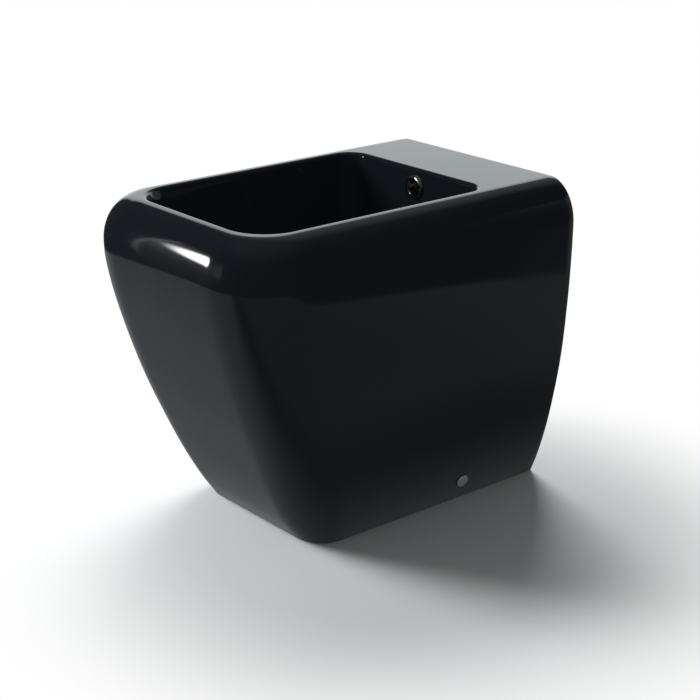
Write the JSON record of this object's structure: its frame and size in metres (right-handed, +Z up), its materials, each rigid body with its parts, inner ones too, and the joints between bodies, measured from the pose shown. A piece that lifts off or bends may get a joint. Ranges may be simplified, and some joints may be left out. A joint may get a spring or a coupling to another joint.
{
  "type": "bidet",
  "caption": "Floor-standing bidet that backs on a wall: tapering glazed body, rectangular basin with overflow ring, push-down waste plug, bottle trap and side fixings to the floor.",
  "frame": {"origin": "on the floor, at the centre of the body's width and length", "axes": "+X to the right of someone who faces the wall, +Y towards the wall, +Z up"},
  "size_m": [0.3608, 0.5111, 0.416],
  "materials": {
    "black_glaze": "glossy black glaze",
    "chrome_plate": "polished chrome plate",
    "brass": "machined",
    "steel": "stainless and zinc plated steel",
    "rubber": "moulded",
    "trap_plastic": "white moulded plastic",
    "nylon": "natural nylon",
    "cap_plastic": "grey moulded plastic"
  },
  "bodies": {
    "fixed": {"ceramic_body": "black_glaze", "overflow_ring": "chrome_plate", "waste_body": "chrome_plate", "plug_guide": "brass", "plug_gland": "brass", "backnut": "brass", "clamp_washer": "steel", "plug_spring": "steel", "fixing_screw_right": "steel", "fixing_screw_left": "steel", "floor_bracket_right": "steel", "floor_bracket_left": "steel", "weld_nut_right": "steel", "weld_nut_left": "steel", "waste_top_seal": "rubber", "waste_lower_seal": "rubber", "inlet_gasket": "rubber", "trap_top_seal": "rubber", "cup_seal": "rubber", "outlet_seal": "rubber", "inlet_nut": "trap_plastic", "inlet_pipe": "trap_plastic", "trap_body": "trap_plastic", "trap_cup": "trap_plastic", "trap_top_nut": "trap_plastic", "outlet_nut": "trap_plastic", "outlet_pipe": "trap_plastic", "fixing_sleeve_right": "nylon", "fixing_sleeve_left": "nylon", "cover_cap_right": "cap_plastic", "cover_cap_left": "cap_plastic"},
    "plug": {"plug_cap": "chrome_plate", "plug_seal": "rubber", "plug_stem": "brass", "plug_latch_ring": "nylon"}
  },
  "joints": [
    {"name": "plug_slide", "type": "slide", "parent": "fixed", "child": "plug", "axis": [0, 0, 1], "range_m": [-0.009, 0], "stiffness_N_per_m": 800, "springref_m": 0.004, "deforming": ["plug_spring"]}
  ]
}
